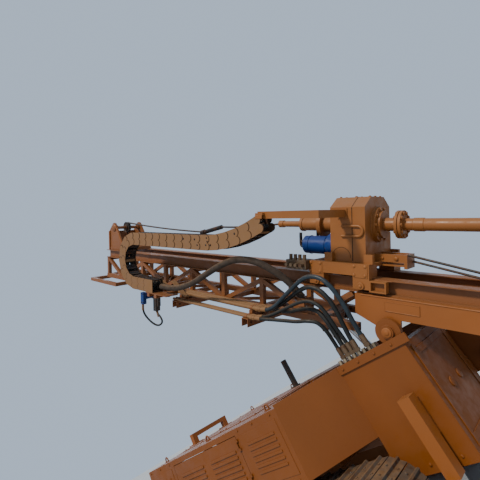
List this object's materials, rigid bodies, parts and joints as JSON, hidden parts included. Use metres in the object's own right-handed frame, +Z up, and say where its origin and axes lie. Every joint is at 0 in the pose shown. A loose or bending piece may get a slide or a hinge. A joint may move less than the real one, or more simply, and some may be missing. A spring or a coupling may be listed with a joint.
{
  "type": "crawler rotary drilling rig",
  "caption": "Crawler-mounted rotary drilling rig with a lattice mast raised part way, rotary head with drill pipe, energy chain and hydraulic hoses.",
  "frame": {"origin": "on the ground, under the middle of the rig's length and width", "axes": "+X forward towards the drill string, +Y the far side with the levers, +Z up"},
  "size_m": [6.6269, 2.202, 5.7068],
  "materials": {
    "orange_paint": "satin, dusty",
    "chain_paint": "dull, dusty",
    "blue_paint": "satin",
    "bright_steel": "machined",
    "black_rubber": "matt, dusty",
    "dark_steel": "dull, oily"
  },
  "bodies": {
    "carrier": {"nose_frame": "orange_paint", "front_deck": "orange_paint", "engine_house": "orange_paint", "engine_block": "dark_steel", "rear_grille": "dark_steel", "exhaust_stack": "dark_steel", "mast_rest": "orange_paint", "hose_bulkhead": "bright_steel", "hose_top": "black_rubber", "hose_middle": "black_rubber", "hose_inner": "black_rubber", "hose_outer": "black_rubber", "hose_low": "black_rubber", "control_console": "orange_paint", "console_levers": "dark_steel", "side_frames": "orange_paint", "track_near": "dark_steel", "track_far": "dark_steel", "sprockets": "dark_steel", "idlers": "dark_steel", "track_rollers": "dark_steel", "jack_sleeves": "orange_paint"},
    "mast": {"mast_rails": "orange_paint", "mast_lattice": "orange_paint", "mast_crossbars": "orange_paint", "cylinder_bracket": "orange_paint", "mast_foot": "orange_paint", "mast_crown": "orange_paint", "foot_clamp": "orange_paint", "winch_frame": "orange_paint", "winch_motor": "blue_paint", "winch_valve": "dark_steel", "winch_hose": "black_rubber", "tube_channels": "orange_paint", "hard_tubes": "orange_paint", "chain_tray": "orange_paint", "chain_sleeve": "black_rubber"},
    "crown_sheave": {"crown_sheave": "dark_steel"},
    "winch_drum": {"winch_drum": "dark_steel"},
    "clamp_near": {"clamp_jaw_near": "dark_steel"},
    "clamp_far": {"clamp_jaw_far": "dark_steel"},
    "head": {"head_carriage": "orange_paint", "head_gearbox": "orange_paint", "head_motors": "blue_paint", "head_swivel": "orange_paint", "chain_arm": "orange_paint", "rope_anchor": "orange_paint", "head_manifold": "dark_steel", "energy_chain": "chain_paint"},
    "spindle": {"spindle": "orange_paint", "drill_pipe": "orange_paint"},
    "tilt_barrels": {"tilt_barrels": "orange_paint"},
    "tilt_rods": {"tilt_rods": "bright_steel"},
    "door_near": {"door_near": "orange_paint"},
    "door_far": {"door_far": "orange_paint"},
    "leg_front_near": {"jack_leg_front_near": "bright_steel"},
    "leg_front_far": {"jack_leg_front_far": "bright_steel"},
    "leg_rear_near": {"jack_leg_rear_near": "bright_steel"},
    "leg_rear_far": {"jack_leg_rear_far": "bright_steel"}
  },
  "joints": [
    {"name": "mast_tilt", "type": "hinge", "parent": "carrier", "child": "mast", "pos_m": [1.52678, 0, 1.55], "axis": [0, 1, 0], "range_deg": [-29, 53], "deforming": ["hose_top", "hose_middle", "hose_inner", "hose_outer", "hose_low"]},
    {"name": "barrel_swing", "type": "hinge", "parent": "carrier", "child": "tilt_barrels", "pos_m": [1.22678, 0, 0.55], "axis": [0, 1, 0], "range_deg": [-13, 23]},
    {"name": "rod_stroke", "type": "slide", "parent": "tilt_barrels", "child": "tilt_rods", "axis": [-0.3171, 0, 0.9484], "range_m": [-0.265, 0.485]},
    {"name": "head_feed", "type": "slide", "parent": "mast", "child": "head", "axis": [-0.7986, 0, 0.6018], "range_m": [-0.85, 2.2], "deforming": ["energy_chain"]},
    {"name": "spindle_turn", "type": "hinge", "parent": "head", "child": "spindle", "pos_m": [2.0373, 0, 2.39364], "axis": [-0.7986, 0, 0.6018], "continuous": true},
    {"name": "crown_sheave_turn", "type": "hinge", "parent": "mast", "child": "crown_sheave", "pos_m": [-2.34804, 0, 5.59681], "axis": [0, 1, 0], "continuous": true},
    {"name": "winch_turn", "type": "hinge", "parent": "mast", "child": "winch_drum", "pos_m": [-2.08188, 0, 3.9062], "axis": [0, 1, 0], "continuous": true},
    {"name": "clamp_near_open", "type": "slide", "parent": "mast", "child": "clamp_near", "axis": [0, -1, 0], "range_m": [0, 0.05]},
    {"name": "clamp_far_open", "type": "slide", "parent": "mast", "child": "clamp_far", "axis": [0, 1, 0], "range_m": [0, 0.05]},
    {"name": "door_near_swing", "type": "hinge", "parent": "carrier", "child": "door_near", "pos_m": [-0.37522, -1.092, 1.1], "axis": [0, 0, 1], "range_deg": [0, 110]},
    {"name": "door_far_swing", "type": "hinge", "parent": "carrier", "child": "door_far", "pos_m": [-0.37522, 1.092, 1.1], "axis": [0, 0, -1], "range_deg": [0, 110]},
    {"name": "jack_front_near", "type": "slide", "parent": "carrier", "child": "leg_front_near", "axis": [0, 0, -1], "range_m": [0, 0.35]},
    {"name": "jack_front_far", "type": "slide", "parent": "carrier", "child": "leg_front_far", "axis": [0, 0, -1], "range_m": [0, 0.35]},
    {"name": "jack_rear_near", "type": "slide", "parent": "carrier", "child": "leg_rear_near", "axis": [0, 0, -1], "range_m": [0, 0.35]},
    {"name": "jack_rear_far", "type": "slide", "parent": "carrier", "child": "leg_rear_far", "axis": [0, 0, -1], "range_m": [0, 0.35]}
  ],
  "couplings": [
    {"joint": "barrel_swing", "follows": "mast_tilt", "ratio": 0.412},
    {"joint": "rod_stroke", "follows": "mast_tilt", "m_per_rad": 0.518}
  ]
}
